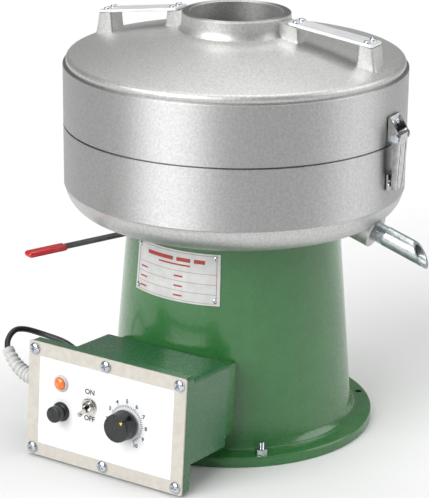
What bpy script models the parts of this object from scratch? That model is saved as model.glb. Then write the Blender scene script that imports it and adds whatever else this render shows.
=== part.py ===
"""Bench-top centrifuge extractor: cast pedestal, two-part bowl housing, rotor, brake and speed control.

Metres, +Z up. The origin is on the spindle axis, in the plane of the pedestal's underside.
The speed-control box faces -Y. The housing, its latches, handles and spout lie on one diameter,
turned a few degrees from +X.
"""
import math

import bmesh
import bpy
from mathutils import Vector

MM = 0.001
GAP = 0.3 * MM  # clearance between pieces that touch

# Pedestal
FLANGE_R = 156.3 * MM
FLANGE_T = 11.3 * MM
CONE_R0 = 134.2 * MM  # cone radius extended down to z = 0
CONE_TAPER = 0.0825  # radius lost per metre of height
CONE_WALL = 8 * MM
PEDESTAL_H = 241.7 * MM
FOOT_HOLE_PCR = 147.5 * MM
FOOT_HOLE_R = 3.9 * MM

# Housing
HOUSING_TURN = math.radians(4.3)
HOUSING_R = 184 * MM
HOUSING_BASE_Z = 242.1 * MM
PARTING_Z = 337 * MM
COVER_LEDGE_Z = 401 * MM
NECK_TOP_Z = 456.1 * MM
NECK_R = 58.1 * MM
NECK_BORE_R = 49.6 * MM

# Handle bars, in the housing's radial plane
BAR_IN = Vector((66.4 * MM, 454.1 * MM))
BAR_OUT = Vector((163.3 * MM, 440.8 * MM))
BAR_W = 25 * MM
BAR_T = 3 * MM

# Spout
SPOUT_SLOPE = math.radians(19)
SPOUT_FACE = Vector((170 * MM, 0, 240.3 * MM))
SPOUT_OD = 21.3 * MM
SPOUT_ID = 15.8 * MM

# Latches, in the housing's radial plane
PIN = Vector((193 * MM, 347.5 * MM))
LINK_PIN = Vector((189.6 * MM, 338 * MM))

# Control panel: local x to the right, y up the panel, z out of it
PANEL_AT = Vector((0, -220 * MM, 65.5 * MM))
PANEL_LEAN = math.radians(4)
PLATE_X = -16.3 * MM
PLATE_W = 198.8 * MM
PLATE_H = 126 * MM
PLATE_T = 2 * MM
TRAY_D = 11.7 * MM
BOX_X0 = -75 * MM
BOX_X1 = 83 * MM
BOX_Y0 = -34.8 * MM
BOX_Y1 = 59 * MM
BOX_BACK = -80.3 * MM
BOX_WALL = 3 * MM
LAMP_AT = (-72.5 * MM, 24 * MM)
FUSE_AT = (-71.3 * MM, -7 * MM)
TOGGLE_AT = (-35.5 * MM, 7 * MM)
KNOB_AT = (11.8 * MM, -1 * MM)
POCKET_X0 = -112 * MM  # side pocket behind the plate's overhang
POCKET_Y0 = -30 * MM
POCKET_Y1 = 36 * MM
POCKET_BACK = -58 * MM
GLAND_AT = Vector((POCKET_X0, 5.3 * MM, -40 * MM))

# Brake lever: a straight bar that passes beside the brake drum
LEVER_OFFSET = 31 * MM  # distance of the bar's centre line from the spindle axis
LEVER_AZ = math.radians(-20.5)
LEVER_Z = 222 * MM
LEVER_T = 3 * MM
LEVER_W = 10 * MM
LEVER_PIVOT_S = 35 * MM
LEVER_GRIP_S = (199 * MM, 245 * MM)
DRUM_R = 19 * MM

# Mains lead
CORD_D = 6.4 * MM
COIL_R = 36 * MM
COIL_AT = Vector((-113.3 * MM, 179.2 * MM, 0))
COIL_ROW = 3  # turns side by side
COIL_LAYERS = 2
CORD_ROUTE = [
    (-182.1, -170.1, 88.9), (-187.2, -163.0, 94.2), (-190.5, -151.5, 98.8), (-191.0, -140.5, 99.6),
    (-187.0, -129.0, 96.6), (-178.5, -120.0, 92.0), (-166.0, -115.0, 88.5), (-151.0, -114.0, 86.5),
    (-137.0, -114.0, 82.5), (-125.5, -113.5, 73.5), (-118.0, -113.0, 60.0), (-115.5, -112.5, 43.0),
    (-117.0, -111.5, 26.0), (-123.5, -106.0, 11.0), (-134.0, -94.5, 4.2), (-146.0, -75.0, 3.5),
    (-157.5, -47.0, 3.5), (-163.5, -16.0, 3.5), (-163.0, 17.0, 3.5), (-156.0, 50.0, 3.5), (-143.5, 80.5, 3.5),
    (-127.0, 106.0, 3.5), (-112.5, 123.0, 3.5), (-104.5, 130.0, 3.5),
]
PLUG_ROUTE = [
    (-64.3, 190.0, 3.5), (-63.5, 199.0, 3.8), (-64.8, 209.0, 5.4), (-68.6, 219.0, 8.2), (-74.5, 228.0, 10.6),
    (-81.5, 235.5, 11.6), (-88.8, 242.6, 11.6),
]

SLATE = {}


def material(name, colour, roughness, metallic=0.0):
    """A Principled material, made once for each name."""
    if name not in SLATE:
        mat = bpy.data.materials.new(name)
        mat.use_nodes = True
        bsdf = mat.node_tree.nodes["Principled BSDF"]
        bsdf.inputs["Base Color"].default_value = (*colour, 1)
        bsdf.inputs["Roughness"].default_value = roughness
        bsdf.inputs["Metallic"].default_value = metallic
        mat.diffuse_color = (*colour, 1)
        SLATE[name] = mat
    return SLATE[name]


def machined():
    return material("machined_aluminium", (0.72, 0.73, 0.74), 0.35, 1.0)


def cast():
    return material("cast_aluminium", (0.62, 0.62, 0.60), 0.6, 1.0)


def enamel():
    return material("green_enamel", (0.06, 0.24, 0.08), 0.3)


def zinc():
    return material("zinc_plate", (0.68, 0.70, 0.72), 0.3, 1.0)


def dark_steel():
    return material("dark_steel", (0.10, 0.12, 0.12), 0.45, 0.8)


def black_plastic():
    return material("black_plastic", (0.02, 0.02, 0.02), 0.35)


def add_empty(name, location=(0, 0, 0), rotation=(0, 0, 0)):
    empty = bpy.data.objects.new(name, None)
    empty.location = location
    empty.rotation_euler = rotation
    bpy.context.collection.objects.link(empty)
    return empty


def add_piece(name, bm, mat, parent=None, location=(0, 0, 0), rotation=(0, 0, 0)):
    """Turn a bmesh into an object, shaded smooth where its faces meet at a low angle."""
    bmesh.ops.recalc_face_normals(bm, faces=bm.faces)
    mesh = bpy.data.meshes.new(name)
    bm.to_mesh(mesh)
    bm.free()
    mesh.shade_smooth()
    mesh.set_sharp_from_angle(angle=math.radians(35))
    obj = bpy.data.objects.new(name, mesh)
    bpy.context.collection.objects.link(obj)
    obj.parent = parent
    obj.location = location
    obj.rotation_euler = rotation
    if mat:
        mesh.materials.append(mat)
    return obj


def combine(target, bm, operation, location=(0, 0, 0), rotation=(0, 0, 0)):
    """Cut a shape out of a piece, or join one to it, with an exact Boolean."""
    helper = add_piece(target.name + "_" + operation.lower(), bm, None, target.parent, location, rotation)
    helper.hide_render = True
    helper.display_type = "WIRE"
    boolean = target.modifiers.new(operation.title(), "BOOLEAN")
    boolean.operation = operation
    boolean.object = helper
    boolean.solver = "EXACT"


def cut(target, bm, location=(0, 0, 0), rotation=(0, 0, 0)):
    combine(target, bm, "DIFFERENCE", location, rotation)


def join(target, bm, location=(0, 0, 0), rotation=(0, 0, 0)):
    combine(target, bm, "UNION", location, rotation)


def turned(outline, steps=40):
    """Spin an (r, z) outline about Z. An outline that starts and ends on the axis is left open."""
    bm = bmesh.new()
    verts = [bm.verts.new((r, 0, z)) for r, z in outline]
    edges = [bm.edges.new(pair) for pair in zip(verts, verts[1:])]
    if outline[0][0] > 0 or outline[-1][0] > 0:
        edges.append(bm.edges.new((verts[-1], verts[0])))
    bmesh.ops.spin(bm, geom=verts + edges, axis=(0, 0, 1), cent=(0, 0, 0), steps=steps,
                   angle=2 * math.pi, use_merge=True)
    bmesh.ops.remove_doubles(bm, verts=bm.verts, dist=1e-6)
    return bm


def rod(r, z0, z1, steps=12):
    return turned([(0, z0), (r, z0), (r, z1), (0, z1)], steps)


def ring(r_in, r_out, z0, z1, steps=20):
    return turned([(r_in, z0), (r_out, z0), (r_out, z1), (r_in, z1)], steps)


def block(x0, x1, y0, y1, z0, z1):
    bm = bmesh.new()
    bmesh.ops.create_cube(bm, size=1)
    for v in bm.verts:
        v.co = Vector((x1 if v.co.x > 0 else x0, y1 if v.co.y > 0 else y0, z1 if v.co.z > 0 else z0))
    return bm


def prism(outline, z0, z1):
    """Extrude an (x, y) outline from z0 to z1."""
    bm = bmesh.new()
    face = bm.faces.new([bm.verts.new((x, y, z0)) for x, y in outline])
    top = bmesh.ops.extrude_face_region(bm, geom=[face])["geom"]
    bmesh.ops.translate(bm, verts=[g for g in top if isinstance(g, bmesh.types.BMVert)], vec=(0, 0, z1 - z0))
    return bm


def radial_plate(outline, y0, y1):
    """A plate whose (x, z) outline lies in the radial plane, from y0 to y1."""
    bm = prism([(x, z) for x, z in outline], y0, y1)
    for v in bm.verts:
        v.co = Vector((v.co.x, v.co.z, v.co.y))
    return bm


def hexagon(across_flats, z0, z1):
    r = across_flats / math.sqrt(3)
    return prism([(r * math.cos(math.pi / 3 * k), r * math.sin(math.pi / 3 * k)) for k in range(6)], z0, z1)


def arc(cx, cy, r, start, end, count):
    """Points on an arc, with its angles in degrees."""
    angles = [math.radians(start + (end - start) * k / (count - 1)) for k in range(count)]
    return [(cx + r * math.cos(a), cy + r * math.sin(a)) for a in angles]


def polar(r, degrees, z=0.0):
    """A point at a compass angle measured from the front, -Y, towards +X."""
    a = math.radians(degrees)
    return Vector((r * math.sin(a), -r * math.cos(a), z))


def cone_r(z):
    return CONE_R0 - CONE_TAPER * z


def smooth_route(points, spacing):
    """Resample a Catmull-Rom curve through points, given in millimetres, at an even spacing."""
    pts = [Vector(p) * MM for p in points]
    ends = [pts[0] * 2 - pts[1]] + pts + [pts[-1] * 2 - pts[-2]]
    dense = []
    for a, b, c, d in zip(ends, ends[1:], ends[2:], ends[3:]):
        for k in range(12):
            t = k / 12
            dense.append(0.5 * (2 * b + (c - a) * t + (2 * a - 5 * b + 4 * c - d) * t * t
                                + (3 * b - a - 3 * c + d) * t ** 3))
    dense.append(pts[-1])
    total = sum((q - p).length for p, q in zip(dense, dense[1:]))
    count = max(2, round(total / spacing))
    out = [dense[0]]
    walked = 0.0
    for p, q in zip(dense, dense[1:]):
        step = (q - p).length
        while len(out) < count and walked + step >= total * len(out) / count:
            out.append(p.lerp(q, (total * len(out) / count - walked) / step))
        walked += step
    return out + [pts[-1]]


def cord_tube(name, points, mat):
    """A plain tube along a route: a poly curve with a round bevel and filled ends."""
    route = smooth_route(points, 2.4 * CORD_D)
    curve = bpy.data.curves.new(name, "CURVE")
    curve.dimensions = "3D"
    curve.bevel_depth = CORD_D / 2
    curve.bevel_resolution = 2
    curve.use_fill_caps = True
    spline = curve.splines.new("POLY")
    spline.points.add(len(route) - 1)
    for point, co in zip(spline.points, route):
        point.co = (*co, 1)
    obj = bpy.data.objects.new(name, curve)
    curve.materials.append(mat)
    bpy.context.collection.objects.link(obj)
    return obj


def make_pedestal():
    top_wall = PEDESTAL_H - 8 * MM
    outline = [
        (FLANGE_R, 0), (FLANGE_R, FLANGE_T), (141 * MM, FLANGE_T), (136.5 * MM, 13 * MM),
        (cone_r(18 * MM), 18 * MM), (cone_r(PEDESTAL_H), PEDESTAL_H), (26 * MM, PEDESTAL_H),
        (26 * MM, top_wall), (cone_r(top_wall) - CONE_WALL, top_wall),
        (cone_r(12 * MM) - CONE_WALL, 12 * MM), (120 * MM, 12 * MM), (120 * MM, 3.5 * MM),
        (128.5 * MM, 3.5 * MM), (128.5 * MM, 0),
    ]
    pedestal = add_piece("pedestal", turned(outline), enamel())
    lean = (math.pi / 2 - PANEL_LEAN, 0, 0)
    pad = block(-70 * MM, 74 * MM, -30 * MM, 52 * MM, BOX_BACK - 28 * MM, BOX_BACK - GAP)
    join(pedestal, pad, PANEL_AT, lean)
    wire_hole = rod(10 * MM, BOX_BACK - 60 * MM, BOX_BACK + 5 * MM)
    cut(pedestal, wire_hole, PANEL_AT + Vector((0, 0, 10 * MM)), lean)
    # the part of the pad that would stand inside the hollow
    core = [(0, 12.2 * MM), (cone_r(12 * MM) - CONE_WALL, 12.2 * MM),
            (cone_r(top_wall) - CONE_WALL, top_wall - 0.2 * MM), (0, top_wall - 0.2 * MM)]
    cut(pedestal, turned(core))
    for degrees in (45, 135, 225, 315):
        cut(pedestal, rod(FOOT_HOLE_R, -5 * MM, 20 * MM), polar(FOOT_HOLE_PCR, degrees))
        cut(pedestal, rod(3.3 * MM, 225 * MM, 250 * MM, 12), polar(95 * MM, degrees))
    for degrees in (30, 150, 270):
        cut(pedestal, rod(2.2 * MM, -5 * MM, 11 * MM, 12), polar(124.3 * MM, degrees))
    cut(pedestal, rod(4.3 * MM, 230 * MM, 250 * MM, 12), lever_point(LEVER_PIVOT_S, 0))
    slot = block(-5.9 * MM, 15.5 * MM, 80 * MM, 125 * MM, LEVER_Z - 1.5 * MM, LEVER_Z + LEVER_T + 1.5 * MM)
    cut(pedestal, slot, lever_point(0, 0), (0, 0, lever_turn()))


def lever_turn():
    """Turn about Z that takes local +Y along the brake lever, outwards."""
    return math.pi + LEVER_AZ


def lever_point(s, z):
    """A point s along the brake lever's centre line from where it passes the spindle."""
    along = Vector((math.sin(LEVER_AZ), -math.cos(LEVER_AZ), 0))
    side = Vector((-math.cos(LEVER_AZ), -math.sin(LEVER_AZ), 0))
    return side * LEVER_OFFSET + along * s + Vector((0, 0, z))


def make_foot_fittings():
    cover = add_piece("bottom_cover", rod(128.2 * MM, 0, 3.2 * MM, 40), enamel())
    for degrees in (30, 150, 270):
        cut(cover, rod(2.6 * MM, -5 * MM, 5 * MM, 12), polar(124.3 * MM, degrees))
    at = polar(FOOT_HOLE_PCR, 45)
    add_piece("hold_down_stud", rod(3.2 * MM, 0.5 * MM, 25 * MM, 16), zinc(), location=at)
    nut = hexagon(11.2 * MM, FLANGE_T + GAP, FLANGE_T + 6 * MM)
    nut_obj = add_piece("hold_down_nut", nut, zinc(), location=at, rotation=(0, 0, 0.35))
    cut(nut_obj, rod(3.5 * MM, 0, 30 * MM, 16), at)


def make_nameplate():
    """A thin plate that follows the cone above the control box."""
    bm = bmesh.new()
    steps = 12
    half = math.radians(26)
    z0, z1 = 168 * MM, 223.5 * MM
    rows = []
    for k in range(steps + 1):
        a = -half + 2 * half * k / steps
        direction = Vector((math.sin(a), -math.cos(a), 0))
        loop = [(cone_r(z0) + 0.5 * MM, z0), (cone_r(z0) + 1.4 * MM, z0),
                (cone_r(z1) + 1.4 * MM, z1), (cone_r(z1) + 0.5 * MM, z1)]
        rows.append([bm.verts.new(direction * r + Vector((0, 0, z))) for r, z in loop])
    for near, far in zip(rows, rows[1:]):
        for k in range(4):
            bm.faces.new((near[k], near[(k + 1) % 4], far[(k + 1) % 4], far[k]))
    bm.faces.new(rows[0])
    bm.faces.new(rows[-1])
    add_piece("nameplate", bm, zinc())


def lip_outline():
    """The cast bowl's outside, from the machined band round to its flat underside."""
    return [(x * MM, z * MM) for x, z in arc(152, 273.3, 31.2, -7, -90, 6)]


def along_spout(distance, drop=0.0):
    """A point along the spout's axis, measured outwards from its boss face."""
    c, s = math.cos(SPOUT_SLOPE), math.sin(SPOUT_SLOPE)
    return SPOUT_FACE + Vector((c, 0, -s)) * distance + Vector((-s, 0, -c)) * drop


SPOUT_TURN = (0, math.pi / 2 + SPOUT_SLOPE, 0)  # takes +Z along the spout, outwards and down


def make_lower_housing(axis):
    outline = [(0, HOUSING_BASE_Z)] + lip_outline()[::-1] + [
        (HOUSING_R, 270.5 * MM), (HOUSING_R, PARTING_Z - GAP / 2), (0, PARTING_Z - GAP / 2)]
    housing = add_piece("lower_housing", turned(outline), machined(), axis)
    join(housing, rod(19 * MM, -50 * MM, 0, 20), SPOUT_FACE, SPOUT_TURN)
    channel = [
        (52 * MM, 256 * MM), (60 * MM, 250.3 * MM), (160 * MM, 250.3 * MM), (172 * MM, 256 * MM),
        (177.2 * MM, 272 * MM), (177.2 * MM, 345 * MM), (52 * MM, 345 * MM)]
    cut(housing, turned(channel))
    well = [(0, 200 * MM), (45 * MM, 200 * MM), (45 * MM, 286 * MM), (60 * MM, 286 * MM), (60 * MM, 345 * MM),
            (0, 345 * MM)]
    cut(housing, turned(well))
    cut(housing, rod(SPOUT_OD / 2 + GAP, -10 * MM, 20 * MM, 20), SPOUT_FACE, SPOUT_TURN)
    cut(housing, rod(8 * MM, -42 * MM, 20 * MM, 16), SPOUT_FACE, SPOUT_TURN)
    for degrees in (45, 135, 225, 315):
        turn = degrees - math.degrees(HOUSING_TURN)
        cut(housing, rod(3.3 * MM, 230 * MM, 260 * MM, 12), polar(95 * MM, turn))
    for k, side in enumerate((1, -1)):
        make_keeper(axis, k + 1, side, housing)


def make_keeper(axis, number, side, housing):
    """The hook plate that a latch pulls on, screwed to the lower housing."""
    turn = (0, 0, 0 if side > 0 else math.pi)
    outline = [(184.4, 290), (186.4, 290), (186.4, 299.4), (188.6, 300.2), (188.6, 302), (186.4, 302),
               (186.4, 307.5), (184.4, 307.5)]
    keeper = radial_plate([(x * MM, z * MM) for x, z in outline], -12.5 * MM, 12.5 * MM)
    keeper = add_piece(f"latch_keeper_{number}", keeper, zinc(), axis, rotation=turn)
    for y in (-8.5, 8.5):
        at = Vector((0, y * MM, 295.2 * MM))
        at.x, at.y = side * at.x, side * at.y
        lay = (0, math.pi / 2 * side, 0)
        cut(keeper, rod(2.3 * MM, 178 * MM, 192 * MM, 10), at, lay)
        cut(housing, rod(2.0 * MM, 179 * MM, 192 * MM, 10), at, lay)


def make_spout(axis):
    """Half-inch pipe: screwed into the boss, its end cut off so that the longer side is underneath."""
    pipe = add_piece("drain_spout", ring(SPOUT_ID / 2, SPOUT_OD / 2, -9.5 * MM, 67 * MM, 20), zinc(), axis,
                     SPOUT_FACE, SPOUT_TURN)
    mitre = block(-40 * MM, 40 * MM, -40 * MM, 40 * MM, 0, 60 * MM)
    cut(pipe, mitre, along_spout(54.5 * MM), (0, math.pi / 2 + SPOUT_SLOPE - math.radians(48), 0))


def bar_angle():
    run = BAR_OUT - BAR_IN
    return math.atan2(-run.y, run.x)


def bar_z(r):
    """Height of the handle bar's upper face at a radius."""
    return BAR_IN.y + (BAR_OUT.y - BAR_IN.y) * (r - BAR_IN.x) / (BAR_OUT.x - BAR_IN.x)


def make_cover(axis):
    dome = [(x * MM, z * MM) for x, z in arc(175, 405.5, 5.8, 0, 77, 3)]
    outline = [
        (NECK_BORE_R, 428 * MM), (NECK_BORE_R, NECK_TOP_Z), (NECK_R, NECK_TOP_Z),
        (NECK_R + 0.5 * MM, 441 * MM), (64 * MM, 436 * MM), (110 * MM, 427.5 * MM)] + dome[::-1] + [
        (181.3 * MM, 402.8 * MM), (HOUSING_R, COVER_LEDGE_Z),
        (HOUSING_R, PARTING_Z + GAP / 2), (176.6 * MM, PARTING_Z + GAP / 2), (176.6 * MM, 331 * MM),
        (171.5 * MM, 331 * MM), (171.5 * MM, 345 * MM), (177 * MM, 352 * MM), (177 * MM, 394 * MM),
        (170 * MM, 402.5 * MM), (110 * MM, 419.5 * MM)]
    cover = add_piece("housing_cover", turned(outline), cast(), axis)
    for turn in (0, math.pi):
        spin = (0, 0, turn)
        inner = [(54 * MM, 432 * MM), (83 * MM, 429 * MM), (78.5 * MM, bar_z(78.5 * MM) - BAR_T - GAP),
                 (65.9 * MM, bar_z(65.9 * MM) - BAR_T - GAP), (65.9 * MM, 453.9 * MM), (54 * MM, 455.6 * MM)]
        outer = [(144 * MM, 414 * MM), (168 * MM, 406 * MM), (163.9 * MM, bar_z(163.9 * MM) - BAR_T - GAP),
                 (147.5 * MM, bar_z(147.5 * MM) - BAR_T - GAP)]
        for post in (inner, outer):
            join(cover, radial_plate(post, -BAR_W / 2, BAR_W / 2), rotation=spin)
    cut(cover, rod(NECK_BORE_R, 400 * MM, 470 * MM, 40))
    for k, turn in enumerate((0, math.pi)):
        make_handle(axis, k + 1, turn, cover)
        make_latch(axis, k + 1, turn, cover)


def make_handle(axis, number, turn, cover):
    """A flat bar screwed down on two cast posts."""
    pose = (0, 0, turn)
    holder = add_empty(f"handle_{number}_axis", rotation=pose)
    holder.parent = axis
    length = (BAR_OUT - BAR_IN).length
    at = Vector((BAR_IN.x, 0, BAR_IN.y))
    tilt = (0, bar_angle(), 0)
    bar = block(0, length, -BAR_W / 2, BAR_W / 2, -BAR_T, 0)
    bar = add_piece(f"handle_bar_{number}", bar, zinc(), holder, at, tilt)
    for x in (7.5 * MM, length - 8 * MM):
        for y in (-6.8 * MM, 6.8 * MM):
            spot = at + Vector((x * math.cos(bar_angle()), y, -x * math.sin(bar_angle())))
            cut(bar, rod(2.1 * MM, -8 * MM, 4 * MM, 8), spot, tilt)


def make_latch(axis, number, turn, cover):
    """Draw latch: bracket on the cover, channel lever on its pin, and a claw that hangs from the lever."""
    holder = add_empty(f"latch_{number}_axis", rotation=(0, 0, turn))
    holder.parent = axis
    plate = [(184.4, 343), (186.4, 343), (186.4, 369), (184.4, 369)]
    bracket = radial_plate([(x * MM, z * MM) for x, z in plate], -12.5 * MM, 12.5 * MM)
    bracket = add_piece(f"latch_bracket_{number}", bracket, zinc(), holder)
    ear = [(185, 369), (185, 343), (196.5, 343)] + arc(193, 347.5, 5.7, -52, 48, 5)
    for y in (-12.5 * MM, 10.7 * MM):
        join(bracket, radial_plate([(x * MM, z * MM) for x, z in ear], y, y + 1.8 * MM))
    lay = (math.pi / 2, 0, 0)
    cut(bracket, rod(2.3 * MM, -20 * MM, 20 * MM, 12), Vector((PIN.x, 0, PIN.y)), lay)
    pin = turned([(0, -12.9 * MM), (2 * MM, -12.9 * MM), (2 * MM, 12.8 * MM), (4.6 * MM, 12.8 * MM),
                  (4.6 * MM, 15.8 * MM), (0, 15.8 * MM)], 12)
    add_piece(f"latch_pin_{number}", pin, zinc(), holder, Vector((PIN.x, 0, PIN.y)), lay)
    lever_side = arc(193, 347.5, 5.9, 200, 60, 8) + [
        (197.6, 350.4), (196.8, 340), (194.2, 291), (189.2, 291), (189.8, 333), (187.6, 340)]
    lever = radial_plate([(x * MM, z * MM) for x, z in lever_side], -10.2 * MM, 10.2 * MM)
    lever = add_piece(f"latch_lever_{number}", lever, zinc(), holder)
    hollow = [(180, 370), (193, 370), (193, 350.6), (196, 350), (195.2, 340), (192.6, 285), (180, 285)]
    cut(lever, radial_plate([(x * MM, z * MM) for x, z in hollow], -8.6 * MM, 8.6 * MM))
    cut(lever, rod(2.3 * MM, -20 * MM, 20 * MM, 12), Vector((PIN.x, 0, PIN.y)), lay)
    cut(lever, rod(1.5 * MM, -20 * MM, 20 * MM, 12), Vector((LINK_PIN.x, 0, LINK_PIN.y)), lay)
    claw_side = [(188.2, 340), (190.8, 340), (190.8, 296.4), (188.9, 296.4), (188.9, 299.0), (189.4, 299.4),
                 (189.4, 335), (188.2, 336)]
    claw = add_piece(f"latch_claw_{number}",
                     radial_plate([(x * MM, z * MM) for x, z in claw_side], -7 * MM, 7 * MM), zinc(), holder)
    join(claw, rod(1.2 * MM, -10 * MM, 10 * MM, 12), Vector((LINK_PIN.x, 0, LINK_PIN.y)), lay)


def make_rotor():
    spindle = [
        (0, 196 * MM), (8 * MM, 196 * MM), (8 * MM, 240 * MM), (9.8 * MM, 242 * MM), (9.8 * MM, 292 * MM),
        (8 * MM, 292.4 * MM), (8 * MM, 372 * MM), (6.5 * MM, 374 * MM), (0, 374 * MM)]
    add_piece("spindle", turned(spindle, 16), zinc())
    add_piece("brake_drum", ring(8.3 * MM, DRUM_R, 213 * MM, 231 * MM, 20), dark_steel())
    slinger = [(10.1 * MM, 284.3 * MM), (14 * MM, 284.3 * MM), (14 * MM, 287.5 * MM),
               (58 * MM, 287.5 * MM), (58 * MM, 288.7 * MM), (10.1 * MM, 288.7 * MM)]
    add_piece("slinger", turned(slinger, 20), zinc())
    bowl = [
        (8.3 * MM, 292.8 * MM), (120 * MM, 292.8 * MM), (134 * MM, 316 * MM), (150 * MM, 317 * MM),
        (150 * MM, 322 * MM), (131 * MM, 322 * MM), (117 * MM, 298.5 * MM), (18 * MM, 298.5 * MM),
        (18 * MM, 330 * MM), (8.3 * MM, 330 * MM)]
    add_piece("rotor_bowl", turned(bowl, 32), machined())
    add_piece("filter_ring", ring(132 * MM, 149.5 * MM, 322.3 * MM, 323.5 * MM, 32),
              material("filter_paper", (0.85, 0.84, 0.80), 0.9))
    lid = [
        (30 * MM, 340 * MM), (128 * MM, 330.5 * MM), (132 * MM, 323.8 * MM), (150 * MM, 323.8 * MM),
        (150 * MM, 328.5 * MM), (136 * MM, 329.5 * MM), (130 * MM, 335.5 * MM), (36 * MM, 348 * MM),
        (36 * MM, 360 * MM), (30 * MM, 360 * MM)]
    lid = add_piece("bowl_lid", turned(lid, 32), machined())
    for degrees in (0, 120, 240):
        spoke = block(12 * MM, 33 * MM, -4 * MM, 4 * MM, 345 * MM, 351 * MM)
        join(lid, spoke, rotation=(0, 0, math.radians(degrees)))
    join(lid, ring(8.3 * MM, 15 * MM, 330.3 * MM, 351 * MM, 16))
    nut = add_piece("bowl_nut", ring(8.3 * MM, 16 * MM, 351.3 * MM, 367 * MM, 16), zinc())
    for side in (-1, 1):
        join(nut, block(13 * MM * side if side > 0 else -27 * MM, 27 * MM if side > 0 else -13 * MM,
                        -3 * MM, 3 * MM, 353 * MM, 365 * MM))


def make_bearings():
    housing = [
        (13 * MM, 236 * MM), (25.5 * MM, 236 * MM), (25.5 * MM, 242.3 * MM), (43 * MM, 242.3 * MM),
        (43 * MM, 248 * MM), (30 * MM, 250 * MM), (30 * MM, 282 * MM), (24.3 * MM, 282 * MM),
        (24.3 * MM, 268 * MM), (18 * MM, 268 * MM), (18 * MM, 258 * MM), (24.3 * MM, 258 * MM),
        (24.3 * MM, 244 * MM), (13 * MM, 244 * MM)]
    add_piece("bearing_housing", turned(housing, 20), cast())
    for name, z in (("lower_bearing", 244.3), ("upper_bearing", 268.3)):
        add_piece(name, ring(10.1 * MM, 24 * MM, z * MM, (z + 13) * MM, 20), zinc())


def make_motor():
    body = [(0, 62 * MM), (58 * MM, 62 * MM), (68 * MM, 70 * MM), (68 * MM, 182 * MM), (60 * MM, 190.7 * MM),
            (16 * MM, 190.7 * MM), (16 * MM, 193 * MM), (0, 193 * MM)]
    add_piece("motor", turned(body, 24), dark_steel())
    mount = add_piece("motor_mount", ring(18 * MM, 90 * MM, 191 * MM, 195.5 * MM, 24), zinc())
    for degrees in (0, 90, 180, 270):
        join(mount, rod(5 * MM, 193 * MM, 233.4 * MM, 12), polar(80 * MM, degrees))


def make_brake():
    pivot = LEVER_PIVOT_S
    half = LEVER_W / 2
    start, end = LEVER_GRIP_S
    side = [(half, -12 * MM), (half, pivot - 9 * MM), (8.5 * MM, pivot - 3 * MM), (8.5 * MM, pivot + 3 * MM),
            (half, pivot + 9 * MM), (half, end - 3 * MM)]
    bar = side + [(-x, y) for x, y in side[::-1]]
    pose = (0, 0, lever_turn())
    origin = lever_point(pivot, LEVER_Z)
    outline = [(x, y - pivot) for x, y in bar]
    lever = add_piece("brake_lever", prism(outline, 0, LEVER_T), dark_steel(), location=origin, rotation=pose)
    cut(lever, rod(4.3 * MM, -5 * MM, 8 * MM, 16), origin)
    shoe = prism([(-half - GAP, -9 * MM - pivot), (-half - GAP, 9 * MM - pivot), (-7.8 * MM, 8 * MM - pivot),
                  (-7.8 * MM, -8 * MM - pivot)], -4 * MM, 5 * MM)
    lining = material("brake_lining", (0.20, 0.13, 0.09), 0.9)
    add_piece("brake_shoe", shoe, lining, location=origin, rotation=pose)
    grip = block(-6.6 * MM, 6.6 * MM, start - pivot, end - pivot, -1.6 * MM, LEVER_T + 1.6 * MM)
    vinyl = material("red_vinyl", (0.62, 0.02, 0.03), 0.25)
    grip = add_piece("brake_grip", grip, vinyl, location=origin, rotation=pose)
    sleeve = block(-half - GAP, half + GAP, start - pivot - 5 * MM, end - pivot - 3 * MM + GAP,
                   -GAP, LEVER_T + GAP)
    cut(grip, sleeve, origin, pose)
    bolt = turned([(0, 213.5 * MM), (7 * MM, 213.5 * MM), (7 * MM, 218 * MM), (4 * MM, 218 * MM),
                   (4 * MM, 240 * MM), (0, 240 * MM)], 16)
    add_piece("brake_pivot_bolt", bolt, zinc(), location=lever_point(pivot, 0))


def plate_screws():
    return [(PLATE_X + dx * MM, dy * MM) for dy in (55, -55) for dx in (-91.5, 0, 91.5)]


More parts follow.
